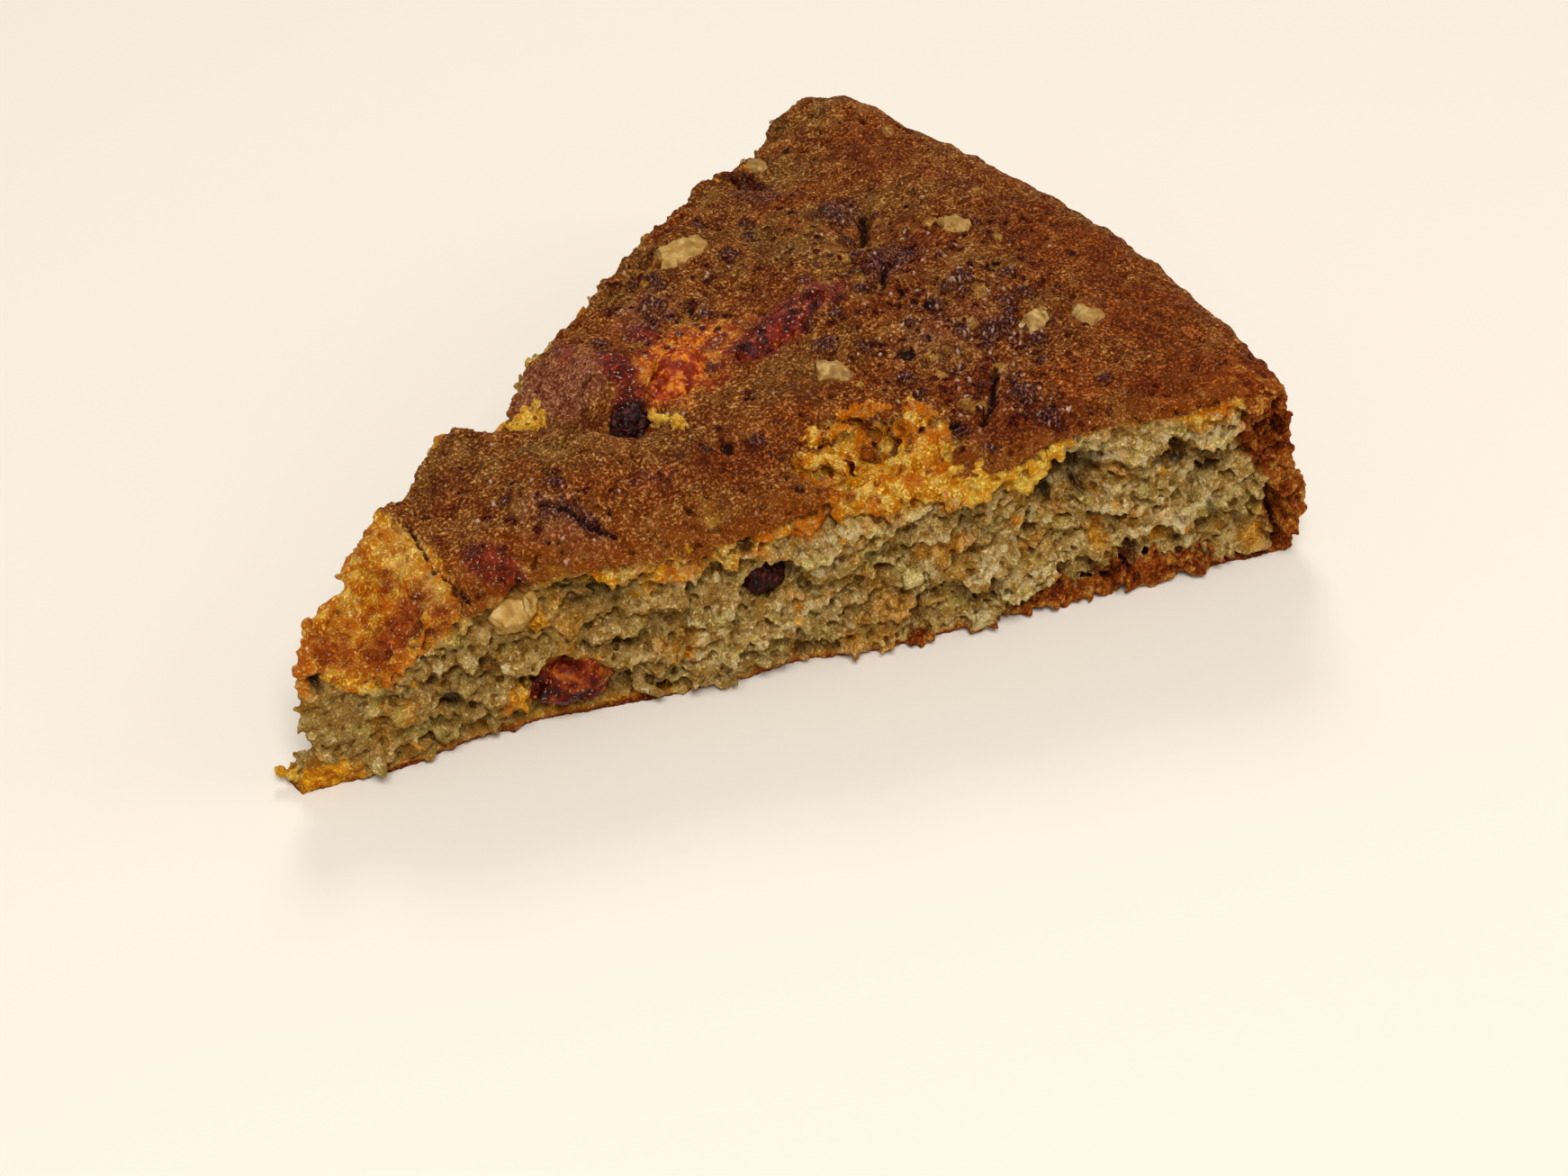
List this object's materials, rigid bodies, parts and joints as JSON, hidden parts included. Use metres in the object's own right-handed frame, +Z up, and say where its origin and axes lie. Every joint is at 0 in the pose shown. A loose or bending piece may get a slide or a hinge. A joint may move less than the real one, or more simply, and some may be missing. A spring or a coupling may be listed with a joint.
{
  "type": "carrot cake slice",
  "caption": "Wedge of plain carrot cake with a browned, uneven top crust, torn moist crumb on both cuts, chopped nuts and dried fruit, lying flat on its base.",
  "frame": {"origin": "middle of the slice's bounding box, on the surface it rests on", "axes": "+X along the middle of the wedge from the tip to the rim, +Y across it towards the far cut, +Z up"},
  "size_m": [0.1318, 0.0938, 0.0302],
  "materials": {
    "cake": "matte baked crust and moist open crumb",
    "nut": "satin",
    "raisin": "glossy, wrinkled",
    "fruit": "glossy, sticky"
  },
  "bodies": {
    "root": {"cake_slice": "cake", "nut_front_edge": "nut", "nut_sliver_back": "nut", "nut_chip_middle": "nut", "nut_chip_rim": "nut", "nut_chip_right": "nut", "nut_chip_back": "nut", "nut_chip_far": "nut", "raisin_top": "raisin", "raisin_cut": "raisin", "fruit_cut": "fruit", "fruit_top": "fruit", "fruit_strip_top": "fruit"}
  },
  "joints": []
}
